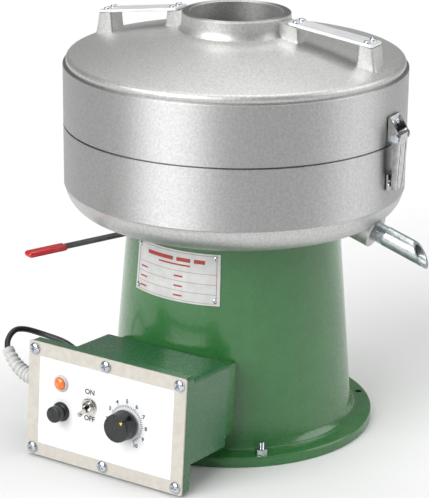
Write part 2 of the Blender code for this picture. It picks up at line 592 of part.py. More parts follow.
def make_control_box(panel):
    x0, x1 = PLATE_X - PLATE_W / 2, PLATE_X + PLATE_W / 2
    top = PLATE_H / 2
    front = -PLATE_T - GAP
    back = front - TRAY_D
    box = add_piece("control_box", block(x0, x1, -top, top, back, front), enamel(), panel)
    join(box, block(BOX_X0, BOX_X1 - 0.2 * MM, BOX_Y0, BOX_Y1, BOX_BACK, back + 3 * MM))
    join(box, block(POCKET_X0, BOX_X0 + 1 * MM, POCKET_Y0, POCKET_Y1, POCKET_BACK, back + 3 * MM))
    rim = 14 * MM
    cut(box, block(x0 + rim, x1 - rim, -top + rim, top - rim, back + BOX_WALL, 5 * MM))
    cut(box, block(BOX_X0 + BOX_WALL, BOX_X1 - rim, BOX_Y0 + BOX_WALL, BOX_Y1 - BOX_WALL - 7 * MM,
                   BOX_BACK + BOX_WALL, back + 4 * MM))
    for x, y in ((-34, -18), (49, -18), (-34, 34), (49, 34)):
        join(box, rod(3 * MM, BOX_BACK + 1 * MM, -62.3 * MM, 8), (x * MM, y * MM, 0))
    cut(box, rod(10 * MM, BOX_BACK - 5 * MM, BOX_BACK + 8 * MM), (0, 10 * MM, 0))
    cut(box, block(POCKET_X0 + BOX_WALL, BOX_X0 + 15 * MM, POCKET_Y0 + BOX_WALL, POCKET_Y1 - BOX_WALL,
                   POCKET_BACK + BOX_WALL, back + 4 * MM))
    cut(box, rod(8 * MM, -10 * MM, 10 * MM), GLAND_AT, (0, -math.pi / 2, 0))
    beige = material("beige_plate", (0.62, 0.62, 0.57), 0.4)
    plate = add_piece("face_plate", block(x0, x1, -top, top, -PLATE_T, 0), beige, panel)
    for at, hole in ((LAMP_AT, 5.3), (FUSE_AT, 6.3), (TOGGLE_AT, 6.3), (KNOB_AT, 5)):
        cut(plate, rod(hole * MM, -10 * MM, 10 * MM, 16), (*at, 0))
    screw = [(0, -9 * MM), (1.7 * MM, -9 * MM), (1.7 * MM, 0.3 * MM), (5 * MM, 0.3 * MM),
             (4.2 * MM, 2.2 * MM), (0, 2.8 * MM)]
    for k, at in enumerate(plate_screws()):
        cut(plate, rod(2.3 * MM, -10 * MM, 10 * MM, 10), (*at, 0))
        cut(box, rod(2.1 * MM, -11 * MM, 10 * MM, 10), (*at, 0))
        add_piece(f"plate_screw_{k + 1}", turned(screw, 10), zinc(), panel, (*at, 0))


def make_lamp_and_fuse(panel):
    bezel = turned([(6.9 * MM, 0.3 * MM), (9 * MM, 0.3 * MM), (9 * MM, 1.6 * MM), (8 * MM, 2.6 * MM),
                    (6.9 * MM, 2.6 * MM)], 20)
    add_piece("lamp_bezel", bezel, material("grey_plastic", (0.7, 0.7, 0.7), 0.4), panel, (*LAMP_AT, 0))
    lens = turned([(0, -22 * MM), (5 * MM, -22 * MM), (5 * MM, 0.6 * MM), (6.6 * MM, 0.6 * MM),
                   (6.6 * MM, 4 * MM), (5 * MM, 5.4 * MM), (0, 6 * MM)], 20)
    add_piece("pilot_lamp", lens, material("orange_lens", (0.9, 0.22, 0.02), 0.2), panel, (*LAMP_AT, 0))
    holder = turned([(4.2 * MM, -34 * MM), (6 * MM, -34 * MM), (6 * MM, 0.3 * MM), (10.5 * MM, 0.3 * MM),
                     (10.5 * MM, 2.2 * MM), (8.3 * MM, 4.2 * MM), (4.2 * MM, 4.2 * MM)], 20)
    add_piece("fuse_holder", holder, black_plastic(), panel, (*FUSE_AT, 0))
    cap = turned([(0, -28 * MM), (3.2 * MM, -28 * MM), (3.2 * MM, 3 * MM), (3.8 * MM, 4.5 * MM),
                  (7.6 * MM, 4.5 * MM), (8.7 * MM, 7 * MM), (8.7 * MM, 14 * MM), (7.6 * MM, 15.4 * MM),
                  (0, 15.6 * MM)], 20)
    add_piece("fuse_cap", cap, black_plastic(), panel, (*FUSE_AT, 0))


def make_toggle(panel):
    body = [(0, -26 * MM), (9 * MM, -26 * MM), (9 * MM, -2.6 * MM), (6 * MM, -2.6 * MM), (6 * MM, 0.3 * MM),
            (8.4 * MM, 0.3 * MM), (8.4 * MM, 2.4 * MM), (5.9 * MM, 2.4 * MM), (5.9 * MM, 6 * MM),
            (5.2 * MM, 6 * MM), (4.6 * MM, -1 * MM), (0, -1 * MM)]
    add_piece("toggle_switch", turned(body, 16), zinc(), panel, (*TOGGLE_AT, 0))
    bat = turned([(0, -1.8 * MM), (1.5 * MM, -1 * MM), (1.9 * MM, 4 * MM), (2.6 * MM, 14 * MM),
                  (2.2 * MM, 17.5 * MM), (0, 18.5 * MM)], 12)
    add_piece("toggle_lever", bat, zinc(), panel, (*TOGGLE_AT, 1.2 * MM), (math.radians(16), 0, 0))


def make_speed_control(panel):
    pot = turned([(4.2 * MM, -26 * MM), (12 * MM, -26 * MM), (12 * MM, -9 * MM), (4.7 * MM, -9 * MM),
                  (4.7 * MM, 0.3 * MM), (7.5 * MM, 0.3 * MM), (7.5 * MM, 2.5 * MM), (4.2 * MM, 2.5 * MM)], 20)
    add_piece("potentiometer", pot, zinc(), panel, (*KNOB_AT, 0))
    add_piece("speed_shaft", rod(3.2 * MM, -20 * MM, 12 * MM, 12), zinc(), panel, (*KNOB_AT, 0))
    knob = turned([(3.5 * MM, 3.5 * MM), (16 * MM, 3.5 * MM), (16 * MM, 5 * MM), (15 * MM, 18.8 * MM),
                   (14 * MM, 20 * MM), (0, 20 * MM), (0, 12.6 * MM), (3.5 * MM, 12.6 * MM)], 24)
    add_piece("speed_knob", knob, black_plastic(), panel, (*KNOB_AT, 0))
    board = block(-40 * MM, 55 * MM, -24 * MM, 40 * MM, -62 * MM, -60.4 * MM)
    add_piece("speed_control_board", board, material("circuit_board", (0.03, 0.16, 0.07), 0.5), panel)


def make_gland(panel):
    lay = (0, -math.pi / 2, 0)
    nut = turned([(4.5 * MM, -8 * MM), (7.6 * MM, -8 * MM), (7.6 * MM, 0.4 * MM), (13 * MM, 0.4 * MM),
                  (13 * MM, 9 * MM), (12 * MM, 11 * MM), (12 * MM, 20 * MM), (9.5 * MM, 22 * MM),
                  (4.5 * MM, 22 * MM)], 16)
    add_piece("cable_gland", nut, material("grey_plastic", (0.7, 0.7, 0.7), 0.4), panel, GLAND_AT, lay)
    make_strain_relief()


def make_strain_relief():
    """A tapered tail that bends up and back from the gland to where the lead leaves it."""
    path = smooth_route([(-135.6, -179.7, 68), (-146, -179.5, 68.6), (-157.5, -178.4, 72.2),
                         (-169, -175.7, 78.6), (-180.8, -170.9, 87.8)], 8 * MM)
    bm = bmesh.new()
    count = 12
    rings = []
    for k, point in enumerate(path):
        along = (path[min(k + 1, len(path) - 1)] - path[max(k - 1, 0)]).normalized()
        side = along.cross(Vector((0, 0, 1))).normalized()
        up = side.cross(along)
        r = (9.6 - 4.2 * k / (len(path) - 1)) * MM
        rings.append([bm.verts.new(point + side * (r * math.cos(2 * math.pi * j / count))
                                   + up * (r * math.sin(2 * math.pi * j / count))) for j in range(count)])
    for near, far in zip(rings, rings[1:]):
        for j in range(count):
            bm.faces.new((near[j], near[(j + 1) % count], far[(j + 1) % count], far[j]))
    bm.faces.new(rings[0])
    bm.faces.new(rings[-1])
    add_piece("strain_relief", bm, material("grey_plastic", (0.7, 0.7, 0.7), 0.4))


def make_lead():
    black = black_plastic()
    cord_tube("mains_lead", CORD_ROUTE, black)
    cord_tube("plug_lead", PLUG_ROUTE, black)
    half = COIL_ROW * CORD_D / 2
    turns = ring(COIL_R - half, COIL_R + half, 0.3 * MM, (0.3 + COIL_LAYERS * CORD_D / MM) * MM, 32)
    add_piece("lead_coil", turns, black, location=COIL_AT)
    plug = [(-7, 0), (-13, 14), (-13, 36), (13, 36), (13, 14), (7, 0)]
    turn = (0, 0, math.radians(45.8))
    at = Vector((-89.2, 243.0, 0)) * MM
    body = prism([(x * MM, y * MM) for x, y in plug], 0.4 * MM, 22.8 * MM)
    body = add_piece("mains_plug", body, black, None, at, turn)
    for x in (-6.35, 6.35):
        join(body, block((x - 0.8) * MM, (x + 0.8) * MM, 30 * MM, 53 * MM, 7.6 * MM, 14 * MM), at, turn)


def main():
    for obj in list(bpy.data.objects):
        bpy.data.objects.remove(obj, do_unlink=True)
    axis = add_empty("housing_axis", rotation=(0, 0, HOUSING_TURN))
    panel = add_empty("panel_axis", PANEL_AT, (math.pi / 2 - PANEL_LEAN, 0, 0))
    make_pedestal()
    make_foot_fittings()
    make_nameplate()
    make_lower_housing(axis)
    make_spout(axis)
    make_cover(axis)
    make_bearings()
    make_rotor()
    make_motor()
    make_brake()
    make_control_box(panel)
    make_lamp_and_fuse(panel)
    make_toggle(panel)
    make_speed_control(panel)
    make_gland(panel)
    make_lead()


main()
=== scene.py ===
"""Looks for the bench-top centrifuge extractor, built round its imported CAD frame.

Metres, +Z up, in the CAD's frame: the spindle is on Z and the control panel faces -Y.
Outlines are written in millimetres and scaled by MM.
"""
import math

import bmesh
import bpy
from mathutils import Matrix, Vector


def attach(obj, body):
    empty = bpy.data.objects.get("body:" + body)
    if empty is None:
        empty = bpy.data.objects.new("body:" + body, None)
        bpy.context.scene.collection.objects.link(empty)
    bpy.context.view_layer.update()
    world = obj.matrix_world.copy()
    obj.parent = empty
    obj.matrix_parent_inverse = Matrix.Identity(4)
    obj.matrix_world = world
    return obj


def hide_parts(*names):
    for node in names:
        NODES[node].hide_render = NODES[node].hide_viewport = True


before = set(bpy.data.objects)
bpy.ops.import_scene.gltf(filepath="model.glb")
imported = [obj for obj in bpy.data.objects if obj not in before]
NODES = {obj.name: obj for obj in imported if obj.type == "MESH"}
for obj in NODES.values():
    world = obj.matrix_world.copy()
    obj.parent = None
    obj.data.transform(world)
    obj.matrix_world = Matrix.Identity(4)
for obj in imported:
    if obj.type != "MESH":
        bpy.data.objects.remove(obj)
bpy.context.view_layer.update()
MM = 0.001
UPRIGHT = Matrix.Identity(4)

HOUSING_TURN = 4.3  # degrees that the spout and latches are turned about the spindle
HOUSING = Matrix.Rotation(math.radians(HOUSING_TURN), 4, "Z")
OTHER_SIDE = HOUSING @ Matrix.Rotation(math.pi, 4, "Z")
PANEL_LEAN = 4  # degrees that the face plate leans back
PANEL = Matrix.Translation((0, -0.220, 0.0655)) @ Matrix.Rotation(math.radians(90 - PANEL_LEAN), 4, "X")


# ---------------------------------------------------------------- camera and cord

CAMERA_AZIMUTH = 32.3
CAMERA_LENS = 154.16


def make_camera():
    """Long lens, a little above the cover, in front and to the right of the panel."""
    turn = Matrix.Rotation(math.radians(CAMERA_AZIMUTH), 3, "Z")
    right = turn @ Vector((0.99986788, 0.01276664, 0.01006178))
    up = turn @ Vector((-0.01364326, 0.3226103, 0.94643354))
    ahead = turn @ Vector((-0.00883674, 0.94644578, -0.32274186))
    data = bpy.data.cameras.new("camera")
    data.sensor_fit = "VERTICAL"
    data.sensor_height = 36
    data.lens = CAMERA_LENS
    data.clip_end = 30
    camera = bpy.data.objects.new("camera", data)
    place = Matrix((right, up, -ahead)).transposed().to_4x4()
    place.translation = turn @ Vector((0, -2.21052, 0.944218))
    camera.matrix_world = place
    bpy.context.scene.collection.objects.link(camera)
    bpy.context.scene.camera = camera


CORD_D = 6.4
COIL_AT = Vector((-113.3, 179.2, 0))
COIL_ROWS = (42.4, 36.0, 29.6)  # radii of the turns in a layer, from the outside in
COIL_START = -74  # degrees
STEPS_PER_TURN = 30
CORD_ROUTE = [
    (-182.1, -170.1, 88.9), (-187.2, -163.0, 94.2), (-190.5, -151.5, 98.8), (-191.0, -140.5, 99.6),
    (-187.0, -129.0, 96.6), (-178.5, -120.0, 92.0), (-166.0, -115.0, 88.5), (-151.0, -114.0, 86.5),
    (-137.0, -114.0, 82.5), (-125.5, -113.5, 73.5), (-118.0, -113.0, 60.0), (-115.5, -112.5, 43.0),
    (-117.0, -111.5, 26.0), (-123.5, -106.0, 11.0), (-134.0, -94.5, 4.2), (-146.0, -75.0, 3.5),
    (-157.5, -47.0, 3.5), (-163.5, -16.0, 3.5), (-163.0, 17.0, 3.5), (-156.0, 50.0, 3.5),
    (-143.5, 80.5, 3.5), (-127.0, 106.0, 3.5), (-112.5, 123.0, 3.5),
]
PLUG_ROUTE = [
    (-64.3, 190.0, 3.5), (-63.5, 199.0, 3.8), (-64.8, 209.0, 5.4), (-68.6, 219.0, 8.2), (-74.5, 228.0, 10.6),
    (-81.5, 235.5, 11.6), (-89.1, 242.9, 11.6),
]


def ease(t):
    """0 to 1, starting and stopping gently."""
    t = min(1.0, max(0.0, t))
    return t * t * (3 - 2 * t)


def curve_through(points, per_span=6):
    """Points on a Catmull-Rom curve."""
    pts = [Vector(p) for p in points]
    ends = [pts[0] * 2 - pts[1]] + pts + [pts[-1] * 2 - pts[-2]]
    out = []
    for a, b, c, d in zip(ends, ends[1:], ends[2:], ends[3:]):
        for k in range(per_span):
            t = k / per_span
            out.append(0.5 * (2 * b + (c - a) * t + (2 * a - 5 * b + 4 * c - d) * t * t
                              + (3 * b - a - 3 * c + d) * t ** 3))
    return out + [pts[-1]]


def coil_points():
    """Three turns on the floor, wound inwards, and three on top of them, wound outwards."""
    low, high = CORD_D / 2 + 0.3, CORD_D * 1.5 + 0.3
    step = COIL_ROWS[0] - COIL_ROWS[1]
    out = []
    for k in range(6 * STEPS_PER_TURN + 3):
        turn = k / STEPS_PER_TURN
        whole, part = int(turn), turn % 1.0
        shift = ease((part - 0.8) / 0.2)  # each turn steps over to the next in its last fifth
        if whole < 2:
            r, z = COIL_ROWS[whole] - step * shift, low
        elif whole == 2:
            r, z = COIL_ROWS[2], low + (high - low) * shift
        elif whole < 5:
            r, z = COIL_ROWS[5 - whole] + step * shift, high
        else:
            r, z = COIL_ROWS[0], high
        a = math.radians(COIL_START) + 2 * math.pi * turn
        out.append(COIL_AT + Vector((r * math.cos(a), r * math.sin(a), z)))
    for degrees, r, z in ((-36, 44.0, 9.6), (-20, 46.2, 8.2), (-5, 48.4, 6.2)):
        a = math.radians(degrees)
        out.append(COIL_AT + Vector((r * math.cos(a), r * math.sin(a), z)))
    return out


def make_cord():
    """The mains lead, from its strain relief to the plug, as one tube."""
    route = curve_through(CORD_ROUTE, 2) + coil_points() + [Vector(p) for p in PLUG_ROUTE]
    route = curve_through(route, 3)
    data = bpy.data.curves.new("mains_cord", "CURVE")
    data.dimensions = "3D"
    data.bevel_depth = CORD_D / 2 * MM
    data.bevel_resolution = 4
    data.use_fill_caps = True
    spline = data.splines.new("POLY")
    spline.points.add(len(route) - 1)
    for point, at in zip(spline.points, route):
        point.co = (*(at * MM), 1)
    cord = bpy.data.objects.new("mains_cord", data)
    bpy.context.scene.collection.objects.link(cord)
    data.materials.append(finish("cord_rubber"))
    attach(cord, "base")
    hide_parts("mains_lead", "lead_coil", "plug_lead")
    length = sum((q - p).length for p, q in zip(route, route[1:])) * MM
    return cord, route[0] * MM, round(length, 2)


# ---------------------------------------------------------------- materials

# name: dark colour, light colour, colour scale, roughness range, metallic, bump scale, bump depth in mm
FINISHES = {
    "machined": ((0.46, 0.465, 0.46), (0.55, 0.555, 0.55), 420, (0.42, 0.50), 1.0, 900, 0.035),
    "cast": ((0.50, 0.50, 0.49), (0.62, 0.62, 0.61), 420, (0.38, 0.52), 0.9, 620, 0.20),
    "enamel": ((0.030, 0.146, 0.038), (0.035, 0.162, 0.043), 60, (0.20, 0.30), 0.0, 190, 0.35),
    "enamel_dark": ((0.024, 0.122, 0.046), (0.029, 0.135, 0.052), 60, (0.22, 0.34), 0.0, 150, 0.24),
    "zinc": ((0.42, 0.46, 0.50), (0.66, 0.70, 0.74), 300, (0.14, 0.28), 1.0, 2500, 0.01),
    "bright": ((0.44, 0.445, 0.44), (0.60, 0.605, 0.60), 160, (0.10, 0.20), 1.0, 1800, 0.008),
    "chrome": ((0.52, 0.50, 0.47), (0.74, 0.72, 0.68), 160, (0.10, 0.20), 1.0, 1800, 0.006),
    "flat_bar": ((0.80, 0.81, 0.82), (0.90, 0.91, 0.92), 90, (0.34, 0.46), 0.6, 1600, 0.012),
    "galvanised": ((0.38, 0.41, 0.42), (0.62, 0.66, 0.67), 110, (0.26, 0.42), 0.9, 500, 0.05),
    "dark_steel": ((0.055, 0.065, 0.065), (0.10, 0.11, 0.11), 90, (0.30, 0.48), 0.5, 700, 0.05),
    "beige": ((0.50, 0.47, 0.42), (0.56, 0.53, 0.47), 130, (0.38, 0.50), 0.0, 1300, 0.03),
    "label": ((0.74, 0.745, 0.76), (0.78, 0.785, 0.80), 60, (0.35, 0.45), 0.0, 900, 0.004),
    "ink": ((0.025, 0.026, 0.032), (0.05, 0.05, 0.06), 200, (0.5, 0.6), 0.0, 900, 0.004),
    "red_ink": ((0.34, 0.03, 0.025), (0.42, 0.05, 0.04), 200, (0.4, 0.5), 0.0, 900, 0.004),
    "pink_ink": ((0.34, 0.19, 0.18), (0.40, 0.23, 0.22), 200, (0.4, 0.5), 0.0, 900, 0.004),
    "plate_face": ((0.56, 0.565, 0.555), (0.64, 0.645, 0.635), 90, (0.28, 0.42), 0.25, 1200, 0.006),
    "grey_plastic": ((0.50, 0.50, 0.50), (0.58, 0.58, 0.57), 110, (0.38, 0.52), 0.0, 1100, 0.03),
    "black_plastic": ((0.012, 0.013, 0.014), (0.022, 0.023, 0.024), 150, (0.24, 0.38), 0.0, 1200, 0.02),
    "cord_rubber": ((0.012, 0.012, 0.013), (0.024, 0.024, 0.025), 120, (0.36, 0.52), 0.0, 900, 0.03),
    "lens": ((0.75, 0.12, 0.01), (0.90, 0.24, 0.03), 260, (0.10, 0.18), 0.0, 700, 0.02),
    "vinyl": ((0.42, 0.006, 0.010), (0.55, 0.012, 0.018), 120, (0.16, 0.28), 0.0, 260, 0.06),
    "lining": ((0.12, 0.07, 0.05), (0.22, 0.15, 0.10), 600, (0.8, 0.95), 0.0, 900, 0.15),
    "board": ((0.02, 0.12, 0.05), (0.03, 0.18, 0.08), 220, (0.4, 0.55), 0.0, 1200, 0.02),
    "paper": ((0.72, 0.71, 0.66), (0.84, 0.83, 0.78), 300, (0.85, 0.95), 0.0, 1500, 0.05),
    "yellow": ((0.80, 0.55, 0.03), (0.90, 0.64, 0.05), 200, (0.4, 0.5), 0.0, 900, 0.01),
    "floor": ((0.78, 0.78, 0.78), (0.80, 0.80, 0.80), 3, (0.6, 0.7), 0.0, 40, 0.05),
}
COAT = {"enamel": 0.5, "enamel_dark": 0.4, "lens": 0.8, "vinyl": 0.6}
STRETCH = {"flat_bar": (0.2, 3.0, 3.0)}  # draws the mottling out along a bar
TURNED = ("machined",)  # finishes with a lathe's grain round Z
MADE = {}


def finish(name):
    """A procedural material: mottled colour and roughness, and a fine bump."""
    if name in MADE:
        return MADE[name]
    dark, light, scale, rough, metallic, bump_scale, depth = FINISHES[name]
    mat = bpy.data.materials.new(name)
    mat.use_nodes = True
    tree = mat.node_tree
    bsdf = tree.nodes["Principled BSDF"]
    link = tree.links.new
    where = tree.nodes.new("ShaderNodeTexCoord").outputs["Object"]
    if name in STRETCH:
        mapping = tree.nodes.new("ShaderNodeMapping")
        mapping.inputs["Scale"].default_value = STRETCH[name]
        link(where, mapping.inputs["Vector"])
        where = mapping.outputs["Vector"]

    def noise(size, detail):
        node = tree.nodes.new("ShaderNodeTexNoise")
        node.inputs["Scale"].default_value = size
        node.inputs["Detail"].default_value = detail
        link(where, node.inputs["Vector"])
        return node.outputs["Fac"]

    ramp = tree.nodes.new("ShaderNodeValToRGB")
    ramp.color_ramp.elements[0].position = 0.35
    ramp.color_ramp.elements[0].color = (*dark, 1)
    ramp.color_ramp.elements[1].position = 0.65
    ramp.color_ramp.elements[1].color = (*light, 1)
    link(noise(scale, 4.0), ramp.inputs["Fac"])
    link(ramp.outputs["Color"], bsdf.inputs["Base Color"])
    spread = tree.nodes.new("ShaderNodeMapRange")
    spread.inputs["From Min"].default_value = 0.3
    spread.inputs["From Max"].default_value = 0.7
    spread.inputs["To Min"].default_value = rough[0]
    spread.inputs["To Max"].default_value = rough[1]
    link(noise(scale * 2.3, 3.0), spread.inputs["Value"])
    link(spread.outputs["Result"], bsdf.inputs["Roughness"])
    bump = tree.nodes.new("ShaderNodeBump")
    bump.inputs["Strength"].default_value = 0.8
    bump.inputs["Distance"].default_value = depth * MM
    link(noise(bump_scale, 3.0), bump.inputs["Height"])
    link(bump.outputs["Normal"], bsdf.inputs["Normal"])
    bsdf.inputs["Metallic"].default_value = metallic
    bsdf.inputs["Coat Weight"].default_value = COAT.get(name, 0.0)
    bsdf.inputs["Coat Roughness"].default_value = 0.12
    if name in TURNED:
        tangent = tree.nodes.new("ShaderNodeTangent")
        tangent.direction_type = "RADIAL"
        tangent.axis = "Z"
        link(tangent.outputs["Tangent"], bsdf.inputs["Tangent"])
        bsdf.inputs["Anisotropic"].default_value = 0.85
        bsdf.inputs["Anisotropic Rotation"].default_value = 0.25
    MADE[name] = mat
    return mat


# ---------------------------------------------------------------- mesh helpers

def arc(cx, cy, r, start, end, count):
    """Points on an arc in millimetres, angles in degrees."""
    steps = [math.radians(start + (end - start) * k / (count - 1)) for k in range(count)]
    return [(cx + r * math.cos(a), cy + r * math.sin(a)) for a in steps]


def lathe(outline, steps=144):
    """Spin a closed (r, z) outline, in millimetres, about Z."""
    bm = bmesh.new()
    verts = [bm.verts.new((r * MM, 0, z * MM)) for r, z in outline]
    edges = [bm.edges.new(pair) for pair in zip(verts, verts[1:])]
    if outline[0][0] > 0 or outline[-1][0] > 0:
        edges.append(bm.edges.new((verts[-1], verts[0])))
    bmesh.ops.spin(bm, geom=verts + edges, axis=(0, 0, 1), cent=(0, 0, 0), steps=steps,
                   angle=2 * math.pi, use_merge=True)
    bmesh.ops.remove_doubles(bm, verts=bm.verts, dist=1e-6)
    return bm


def slab(outline, z0, z1):
    """Extrude an (x, y) outline in millimetres."""
    bm = bmesh.new()
    face = bm.faces.new([bm.verts.new((x * MM, y * MM, z0 * MM)) for x, y in outline])
    top = bmesh.ops.extrude_face_region(bm, geom=[face])["geom"]
    raised = [g for g in top if isinstance(g, bmesh.types.BMVert)]
    bmesh.ops.translate(bm, verts=raised, vec=(0, 0, (z1 - z0) * MM))
    return bm


def rounded(x0, x1, y0, y1, r, count=5):
    """A rectangle with rounded corners."""
    out = []
    corners = ((x1 - r, y1 - r), (x0 + r, y1 - r), (x0 + r, y0 + r), (x1 - r, y0 + r))
    for (cx, cy), start in zip(corners, (0, 90, 180, 270)):
        out += arc(cx, cy, r, start, start + 90, count)
    return out


def rod(r, z0, z1, steps):
    return lathe([(0, z0), (r, z0), (r, z1), (0, z1)], steps)


def hexagon(r, turn=0.0):
    return [(r * math.cos(math.pi / 3 * k + turn), r * math.sin(math.pi / 3 * k + turn)) for k in range(6)]


def box(x0, x1, y0, y1, z0, z1):
    return slab([(x0, y0), (x1, y0), (x1, y1), (x0, y1)], z0, z1)


def radial(outline, y0, y1):
    """A plate whose (r, z) outline lies in the radial plane."""
    bm = slab(outline, y0, y1)
    for v in bm.verts:
        v.co = Vector((v.co.x, v.co.z, v.co.y))
    return bm


def loft(rings):
    """Skin between closed rings of points in millimetres, with flat ends."""
    bm = bmesh.new()
    rows = [[bm.verts.new(Vector(p) * MM) for p in ring] for ring in rings]
    for near, far in zip(rows, rows[1:]):
        for k in range(len(near)):
            bm.faces.new((near[k], near[(k + 1) % len(near)], far[(k + 1) % len(far)], far[k]))
    bm.faces.new(rows[0])
    bm.faces.new(rows[-1])
    return bm


def merged(parts):
    """One mesh from (bmesh, matrix) pairs."""
    out = bmesh.new()
    for bm, place in parts:
        bmesh.ops.transform(bm, matrix=place, verts=bm.verts)
        bmesh.ops.recalc_face_normals(bm, faces=bm.faces)
        mesh = bpy.data.meshes.new("part")
        bm.to_mesh(mesh)
        bm.free()
        out.from_mesh(mesh)
        bpy.data.meshes.remove(mesh)
    return out


def raw(bm, place=UPRIGHT, name="cutter"):
    """A plain object, used as a Boolean operand."""
    bmesh.ops.transform(bm, matrix=place, verts=bm.verts)
    bmesh.ops.recalc_face_normals(bm, faces=bm.faces)
    mesh = bpy.data.meshes.new(name)
    bm.to_mesh(mesh)
    bm.free()
    obj = bpy.data.objects.new(name, mesh)
    bpy.context.scene.collection.objects.link(obj)
    return obj


def mesh_of(bm):
    """A mesh on its own, for copying."""
    obj = raw(bm)
    mesh = obj.data
    bpy.data.objects.remove(obj)
    return mesh


def carve(target, bm, place=UPRIGHT, operation="DIFFERENCE"):
    """Apply a Boolean to an object at once."""
    tool = raw(bm, place)
    modifier = target.modifiers.new("carve", "BOOLEAN")
    modifier.operation = operation
    modifier.object = tool
    modifier.solver = "EXACT"
    graph = bpy.context.evaluated_depsgraph_get()
    mesh = bpy.data.meshes.new_from_object(target.evaluated_get(graph))
    target.modifiers.clear()
    target.data = mesh
    bpy.data.objects.remove(tool)


def polish(obj, bevel=0.0, segments=2, sharp=40):
    """Smooth shading, crisp only at real edges, with those edges broken by a small bevel."""
    obj.data.shade_smooth()
    obj.data.set_sharp_from_angle(angle=math.radians(sharp))
    if bevel:
        modifier = obj.modifiers.new("bevel", "BEVEL")
        modifier.width = bevel * MM
        modifier.segments = segments
        modifier.limit_method = "ANGLE"
        modifier.angle_limit = math.radians(30)
        modifier.harden_normals = True


def piece(name, bm, look, body, replaces=(), place=UPRIGHT, bevel=0.0, segments=2, sharp=40, cuts=()):
    """A finished piece: mesh, Booleans, material, body and the CAD nodes that it stands for."""
    obj = raw(bm, place, name)
    for cutter, where, *operation in cuts:
        carve(obj, cutter, where, *(operation or ["DIFFERENCE"]))
    obj.name = name
    obj.data.name = name
    polish(obj, bevel, segments, sharp)
    looks = [look] if isinstance(look, str) else look
    obj.data.materials.clear()
    for each in looks:
        obj.data.materials.append(finish(each))
    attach(obj, body)
    if replaces:
        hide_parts(*replaces)
    return obj


def soften(node, look, body, width=0.4, segments=2, cuts=()):
    """A CAD solid's own shape with its edges rounded."""
    bm = bmesh.new()
    bm.from_mesh(NODES[node].data)
    bmesh.ops.remove_doubles(bm, verts=bm.verts, dist=1e-7)
    bmesh.ops.dissolve_limit(bm, angle_limit=math.radians(1), verts=bm.verts, edges=bm.edges)
    return piece(node + "_finished", bm, look, body, (node,), bevel=width, segments=segments,
                 cuts=cuts)


def paint(obj, pick):
    """Choose each face's material slot from its centre."""
    for face in obj.data.polygons:
        face.material_index = pick(face.center)


# ---------------------------------------------------------------- screws

def pan_screw(r, height, sink=0.6):
    """A pan-head screw with a cross recess, standing on z = 0."""
    rim = height * 0.25
    dome = [(r * math.cos(a), rim + (height - rim) * math.sin(a)) for a in map(math.radians, (20, 40, 60, 78))]
    head = raw(lathe([(0, -sink), (r, -sink), (r, rim), *dome, (0, height)], 28))
    recess = ((height * 0.2, r * 0.18, r * 0.10), (height * 1.2, r * 0.72, r * 0.18))
    for turn in (0, math.pi / 2):
        bar = loft([[(x, y, z) for x, y in rounded(-w, w, -t, t, t * 0.9, 3)] for z, w, t in recess])
        carve(head, bar, Matrix.Rotation(turn, 4, "Z"))
    mesh = head.data
    bpy.data.objects.remove(head)
    return mesh


def scatter(name, mesh, places, look, body, replaces=(), sharp=35):
    """Copies of one mesh, joined."""
    out = bmesh.new()
    for place in places:
        bm = bmesh.new()
        bm.from_mesh(mesh)
        bmesh.ops.transform(bm, matrix=place, verts=bm.verts)
        copy = bpy.data.meshes.new("copy")
        bm.to_mesh(copy)
        bm.free()
        out.from_mesh(copy)
        bpy.data.meshes.remove(copy)
    return piece(name, out, look, body, replaces, sharp=sharp)


def at(x, y, z, turn=0.0, axis="Z"):
    """A place in millimetres, turned by degrees."""
    return Matrix.Translation((x * MM, y * MM, z * MM)) @ Matrix.Rotation(math.radians(turn), 4, axis)


def polar(r, degrees, z=0.0):
    """A place at a compass angle measured from the front, -Y, towards +X."""
    a = math.radians(degrees)
    return at(r * math.sin(a), -r * math.cos(a), z)


def on_panel(spot, z=0):
    return PANEL @ at(*spot, z)


# ---------------------------------------------------------------- pedestal

CONE_R0, CONE_TAPER, PEDESTAL_H = 134.2, 0.0825, 241.7
CONE_WALL = 8
BOLT_CIRCLE_R = 147.5
STUD_ANGLE = 45
BOX_BACK = -80.3  # back of the control box, from the face plate
LEVER_AZ = math.radians(-20.5)
LEVER_PLACE = (Matrix.Rotation(LEVER_AZ, 4, "Z") @ Matrix.Translation((-0.031, 0, 0))
               @ Matrix.Rotation(math.pi, 4, "Z"))  # local +Y runs outwards along the brake lever


def cone_r(z):
    return CONE_R0 - CONE_TAPER * z


